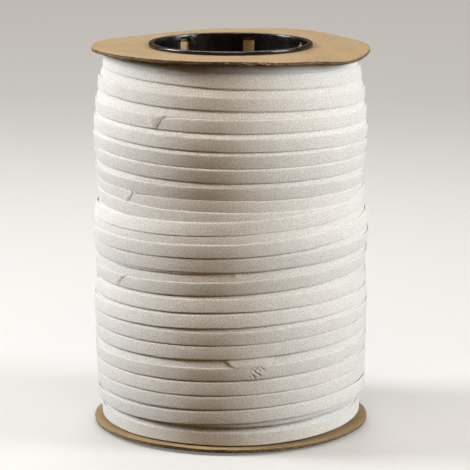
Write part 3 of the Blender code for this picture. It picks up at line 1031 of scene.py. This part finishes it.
def layTape(layer, wound, seed):
    # Winds one layer over the table and returns where the tape went
    steps, smooth = winding["steps"], winding["smooth"]
    first, last = winding[layer + "Start"][0][0], winding[layer + "End"][-1][0]
    turns = np.arange(round(first * steps), round(last * steps) + 1) / steps
    angle = turns * 360.0
    distance = np.radians(angle) * middleRadius
    waver = winding["waver"]
    low = edgeCurve(layer, turns) + waver * wander(distance, seed, 140.0, 17.0)
    bottom = tapeFloor + boardLift(flange["bottomWarp"], angle, outlineAt(tapeFloor))
    top = tapeCeiling + boardLift(flange["topWarp"], angle, outlineAt(tapeCeiling))
    low = np.maximum(low, bottom + winding["footRoom"])
    width = winding["width"] + waver * wander(distance, seed + 1, 90.0, 20.0)
    high = np.minimum(low + width, top - winding["headRoom"])
    shares = np.linspace(0.05, 0.95, 15)
    offCentre = shares - 0.5
    columns = np.round(turns * steps).astype(int) % steps
    underLow, underHigh = np.zeros(len(turns)), np.zeros(len(turns))
    for begin in range(0, len(turns), steps):
        part = slice(begin, min(begin + steps, len(turns)))
        heights = low[part, None] + (high - low)[part, None] * shares
        rows = np.clip((heights / cell).astype(int), 0, len(cellFloors) - 1)
        under = wound[columns[part, None], rows]
        middle = under.mean(1)
        rise = (under * offCentre).sum(1) / (offCentre**2).sum()
        rise = np.clip(rise, -winding["lean"], winding["lean"])
        over = np.maximum((under - middle[:, None] - rise[:, None] * offCentre).max(1), 0.0)
        lift = np.interp(turns[part], *zip(*winding["lift"][layer]))
        underLow[part] = middle - rise / 2 + over * winding["bridge"][0] + lift
        underHigh[part] = middle + rise / 2 + over * winding["bridge"][1]
        startLow, startHigh = blur(underLow[part], smooth), blur(underHigh[part], smooth)
        outer = startLow[:, None] + (startHigh - startLow)[:, None] * shares + winding["thick"]
        for shift in (0.0, cell / 2):
            rows = np.clip(((heights + shift) / cell).astype(int), 0, len(cellFloors) - 1)
            wound[columns[part, None], rows] = np.maximum(wound[columns[part, None], rows], outer)
    return {
        "layer": layer,
        "turns": turns,
        "low": low,
        "high": high,
        "underLow": blur(underLow, smooth),
        "underHigh": blur(underHigh, smooth),
    }


def joinLine(join):
    # The turn at which a join's line starts, how far right it runs, and its length
    run = (join["high"] - join["low"]) / 360.0 * turnLength
    return join["row"] + join["low"] / 360.0, run, math.hypot(run, winding["width"])


def joinPlace(join, turns, across):
    # How far right of a join's line, how far off it square to the line, and how far along it
    begin, run, length = joinLine(join)
    right = (turns - begin) * turnLength
    off = right - run * across / winding["width"]
    along = (right * run + across * winding["width"]) / length
    return off, off * winding["width"] / length, along


def softStep(distance, width):
    # From 0 up to 1 as the distance passes nought
    return 1 / (1 + np.exp(np.clip(-distance / width, -40, 40)))


def bell(distance, width, power=2):
    return np.exp(-((distance / width) ** power))


def oneJoin(join, seed, turns, across):
    # The upper of the two ends stands up and stops short in a fold. The stitches pull it in.
    off, square, along = joinPlace(join, turns, across)
    share = across / winding["width"]
    upper = softStep(-off, seam["edgeSoft"])
    closed = np.clip((share - seam["closedFrom"]) / 0.2, 0, 1) if join["doubled"] else 0.0
    swell = bell(off / join["reach"] - seam["swellAt"], seam["swellWidth"])
    mound = join["puff"] * upper * swell * (1 - 0.7 * closed)
    groove = -join["groove"] * bell(off - seam["grooveAt"], seam["grooveWidth"]) * (1 - closed)
    crumple = wander(off + 1.3 * across, 90 + seed, 2.6, 0.9)
    crumple = crumple * wander(across * 1.2 - off, seed, 3.4, 1.2)
    crumple = join["crumple"] * np.tanh(np.abs(crumple)) * bell(off + 4.5, 3.2, 4)
    left, right, rise = join["facet"]
    crease = join["row"] + (left + (right - left) * share) / 360.0
    facet = rise * softStep((turns - crease) * turnLength, seam["creaseSoft"])
    if join["doubled"]:
        facet = facet * bell(off, seam["doubledReach"], 4) * upper
    else:
        facet = facet * bell(off, seam["plainReach"], 4) * (1.0 - 1.7 * share)
    pull = -join["pull"] * (0.5 + 0.5 * np.cos(2 * np.pi * along / stitch["pitch"]))
    return mound + groove + crumple + facet + pull * bell(square, seam["stitchBand"], 4)


def oneSlit(slit, turns, across):
    row, low, high, left, right, depth = slit
    share = (across - low) / (high - low)
    off = ((turns - row) * 360.0 - left - (right - left) * share) / 360.0 * turnLength
    slant = math.radians(right - left) * seam["slitRadius"] / (high - low)
    off = off / math.hypot(1.0, slant)
    ends = np.clip(1 - (2 * np.clip(share, -0.5, 1.5) - 1) ** 4, 0, 1)
    lips = 0.25 * bell(np.abs(off) - 0.8, seam["slitWidth"])  # the cloth beside it bulges
    return depth * ends * (lips - bell(off, seam["slitWidth"]))


def joinRelief(layer, turns, across):
    relief = np.zeros(np.broadcast(turns, across).shape)
    for seed, join in enumerate(joins):
        if join["layer"] == layer:
            relief += oneJoin(join, seed, turns, across)
    for slit in slits:
        if slit[0] == layer:
            relief += oneSlit(slit[1:], turns, across)
    return relief


def joinNarrows(layer, turns):
    # The tape's upper edge steps down after a join and comes back up slowly
    rise = np.zeros(np.shape(turns))
    for join in joins:
        if join["layer"] == layer:
            off = joinPlace(join, turns, winding["width"])[0]
            after = np.clip(off, 0.0, None)
            rise -= join["step"] * np.exp(-after / 11.0) * (1 - np.exp(-after / 0.5))
            rise += 0.4 * join["step"] * bell(off + 1.8, 2.0)
    return rise


def peekAt(layer, turns):
    out = np.zeros(len(turns))
    for peekLayer, row, angle, reach, amount in winding["peeks"]:
        if peekLayer == layer:
            off = (turns - row) * 360.0 - angle
            out += amount * np.clip(1 - (off / reach) ** 2, 0, None)
    return out


def finePlaces(layer, turns):
    # More steps along the tape where it has a join
    extra = []
    for join in joins:
        if join["layer"] == layer:
            reach = np.arange(join["low"] - 5.0, join["high"] + 4.0, winding["fineStep"])
            extra.append(join["row"] + reach / 360.0)
    return np.unique(np.concatenate([turns, *extra]))


def placeOnTape(path, turns, across, out):
    # Points that lie so far across a layer's tape and so far out from its back
    keys = ("low", "high", "underLow", "underHigh")
    low, high, underLow, underHigh = (np.interp(turns, path["turns"], path[key]) for key in keys)
    high = high + joinNarrows(path["layer"], turns)
    lean = np.arctan2(underHigh - underLow, np.maximum(high - low, 1.0))
    share = across / winding["width"]
    radius = underLow + (underHigh - underLow) * share + out * np.cos(lean)
    height = low + (high - low) * share - out * np.sin(lean)
    return spot(turns * 360.0, radius, height)


def tapeSection():
    # One cross-section of the folded tape: how far across, how far out, and which ply it is.
    # Up the outer face, round the upper fold, down the inner face and round the two lower folds.
    width, thick = winding["width"], winding["thick"]
    face = np.linspace(0.55, width - 1.15, 16)
    points = [(0.0, thick * 0.86, "outer"), (0.2, thick * 0.98, "outer")]
    points += [(across, thick, "face") for across in face]
    for turn in (72, 50, 28, 5, -30):
        side = math.radians(turn)
        out = thick / 2 + thick / 2 * math.sin(side)
        points.append((width - 1.0 + math.cos(side), out, "fold"))
    points += [(width - 0.8, 0.0, "back"), (0.8, 0.0, "back")]
    points += [(0.25, 0.0, "peek"), (0.0, thick * 0.15, "peek"), (-0.02, thick * 0.33, "peek")]
    points += [(0.15, thick * 0.45, "peek"), (0.7, thick * 0.06, "groove")]
    points += [(0.12, thick * 0.68, "outer"), (0.0, thick * 0.76, "outer")]
    return points


def makeTape(name, path, seed):
    layer = path["layer"]
    turns = finePlaces(layer, path["turns"])
    distance = np.radians(turns * 360.0) * middleRadius
    section = tapeSection()
    width = winding["width"]
    peek = winding["peek"] * (1 + wander(distance, seed + 2, 60.0, 11.0))
    peek = peekAt(layer, turns) + peek
    one, two = winding["crumple"]
    points = np.zeros((len(turns), len(section), 3))
    uvs = np.zeros((len(turns), len(section) + 1, 2))
    for j, (across, out, kind) in enumerate(section):
        acrossHere = across - (peek if kind == "peek" else 0.0)
        outHere = np.full(len(turns), out)
        if kind == "face":
            crown = winding["crown"] * math.sin(math.pi * across / width)
            crumple = one * wander(distance + 1.9 * across, seed + 5, 23.0, 3.1)
            crumple = crumple + two * wander(distance - 2.3 * across, seed + 6, 17.0, 4.1)
            outHere = outHere + crown + crumple
        if kind in ("face", "fold", "outer") and across > 0:
            outHere = outHere + joinRelief(layer, turns, np.float64(across)) * min(1.0, out)
        points[:, j] = placeOnTape(path, turns, acrossHere, outHere)
    perimeter = np.array([row[:2] for row in section])
    around = np.append(0.0, np.cumsum(np.hypot(*np.diff(perimeter, axis=0).T)))
    uvs[..., 0] = distance[:, None]
    uvs[..., 1] = np.append(around, around[-1] + 0.15)
    mesh = rowsMesh(name, points, uvs, ring=False)
    standPiece(name, mesh, cottonTape, "cotton_tape", "wound_tape")


def makeInner():
    # What lies under the two layers, with a bore for the tube
    angle = np.arange(0.0, 360.0, 2.0)
    heights = np.linspace(tapeFloor, tapeCeiling, winding["innerRows"])
    rise = boardLift(flange["bottomWarp"], angle, outlineAt(tapeFloor))[:, None]
    droop = boardLift(flange["topWarp"], angle, outlineAt(tapeCeiling))[:, None]
    share = (heights - tapeFloor) / (tapeCeiling - tapeFloor)
    height = heights[None, :] + rise * (1 - share) + droop * share
    radius = innerRadius(angle, height)
    depth, top, soft = winding["undercut"]
    radius = radius - depth * np.clip((tapeFloor + top - heights) / soft, 0, 1)
    column = np.ones((len(angle), 1))
    bore = column * (roll["tubeRadius"] + roll["air"])
    radius = np.concatenate([radius, bore, bore], axis=1)
    height = np.concatenate([height, column * tapeCeiling, column * tapeFloor], axis=1)
    points = spot(angle[:, None], radius, height)
    uvs = np.zeros((len(angle) + 1, radius.shape[1] + 1, 2))
    uvs[:, :, 0] = np.radians(np.append(angle, 360.0))[:, None] * middleRadius
    uvs[:-1, :-1, 1] = height
    uvs[-1, :-1, 1] = height[0]
    mesh = rowsMesh("innerWinding", points, uvs)
    standPiece("innerWinding", mesh, cottonTape, "cotton_tape", "wound_tape")


def onJoin(path, join, along, square, lift):
    # Points so far along a join's line, square off it, and above the cloth there
    begin, run, length = joinLine(join)
    across = (along * winding["width"] - square * run) / length
    turns = begin + (along * run + square * winding["width"]) / length / turnLength
    out = winding["thick"] + stitch["above"] + joinRelief(join["layer"], turns, across) + lift
    return placeOnTape(path, turns, across, out)


def fibreOnJoin(draw, path, join, along, square, kind, t):
    # A short bent fibre that lies any way about a place on a join
    turn, reach = draw.uniform(0, 2 * math.pi), draw.uniform(*kind["reach"])
    bow = kind["bow"] * np.sin(np.pi * t) * draw.choice((-1, 1))
    along = along + reach * (t - 0.5) * math.sin(turn) + bow * math.cos(turn)
    square = square + reach * (t - 0.5) * math.cos(turn) - bow * math.sin(turn)
    lift = kind["base"] + draw.uniform(*kind["rise"]) * np.sin(np.pi * t)
    return onJoin(path, join, along, square, lift), draw.uniform(*kind["radius"])


def makeStitches(paths):
    # The sewing thread of each join, fibres of the cut edges, and a few stray ends
    draw = np.random.default_rng(7)
    threads = []
    t = np.linspace(0.0, 1.0, 7)
    for join in joins:
        path, doubled = paths[join["layer"]], join["doubled"]
        length = joinLine(join)[2]
        for step in range(int(length / stitch["pitch"])):
            along = (step + 0.5) * stitch["pitch"] + draw.uniform(-0.2, 0.2)
            square = (t - 0.5) * stitch["length"] * draw.uniform(0.75, 1.1)
            lift = stitch["lift"] * np.sin(np.pi * t) + 0.02
            thread = onJoin(path, join, along + 0.12 * np.sin(3 * t), square, lift)
            threads.append((thread, stitch["radius"]))
        for fibre in range(stitch["fibres"]):
            along = draw.uniform(0.2, 0.95) * length
            square = -abs(draw.normal(0.0, 2.2)) if doubled else draw.normal(0.0, 2.0)
            threads.append(fibreOnJoin(draw, path, join, along, square, stitch["fine"], t))
        for tuft in range(join["tufts"]):
            along = draw.uniform(0.08, 0.6) * length
            square = -draw.uniform(0.8, 7.0) if doubled else draw.uniform(-2.5, 2.5)
            threads.append(fibreOnJoin(draw, path, join, along, square, stitch["tuft"], t))
    for layer, row, start, end, hang, (outEnd, outFar), radius in looseThreads:
        turns = row + (start + (end - start) * t) / 360.0
        share = np.sin(np.pi * t) if hang > 0 else t
        out = outEnd + (outFar - outEnd) * share
        threads.append((placeOnTape(paths[layer], turns, -abs(hang) * share, out), radius))
    mesh = strandMesh("seamThreads", *zip(*threads))
    standPiece("seamThreads", mesh, sewingThread, "cotton_tape", "wound_tape")


def makeEar(path):
    # The corner of double cloth that sticks out of one join, over the gap above the tape
    share = np.linspace(0.0, 1.0, 9)
    across = winding["width"] - 0.5 + ear["reach"] * share
    along = np.linspace(0.0, 1.0, 50)[:, None]
    (leftLow, leftHigh), (rightLow, rightHigh) = ear["left"], ear["right"]
    left, right = leftLow + (leftHigh - leftLow) * share, rightLow + (rightHigh - rightLow) * share
    turns = ear["row"] + (left + (right - left) * along) / 360.0
    sink = ear["sink"] * np.clip((along - 0.7) / 0.3, 0, 1) ** 2
    sink = sink + 0.2 * (1 - np.clip(along / 0.06, 0, 1)) ** 1.5
    crumple = ear["crumple"] * wander(along * 27 + across, 5, 5.0, 1.6)
    out = winding["thick"] + 0.08 - ear["slope"] * share**1.5 - sink + crumple
    outer = placeOnTape(path, turns, across + 0 * along, out)
    back = placeOnTape(path, turns, across + 0 * along, out - ear["thick"])
    points = np.concatenate([outer, back[:, ::-1]], axis=1)
    uvs = np.zeros((len(along), points.shape[1] + 1, 2))
    distance = np.radians(turns * 360.0) * middleRadius
    uvs[:, :9, 0], uvs[:, 9:18, 0] = distance, distance[:, ::-1]
    uvs[:, :9, 1], uvs[:, 9:18, 1] = across, across[::-1]
    uvs[:, 18] = uvs[:, 0]
    mesh = rowsMesh("joinEar", points, uvs, ring=False)
    standPiece("joinEar", mesh, cottonTape, "cotton_tape", "wound_tape")


woundSoFar = innerRadius(columnAngles, cellFloors[None, :] + cell / 2)
makeInner()
fallingPath = layTape("falling", woundSoFar, 31)
risingPath = layTape("rising", woundSoFar, 47)
makeTape("fallingTape", fallingPath, 61)
makeTape("risingTape", risingPath, 71)
makeStitches({"falling": fallingPath, "rising": risingPath})
makeEar(risingPath)
print("tape wound")
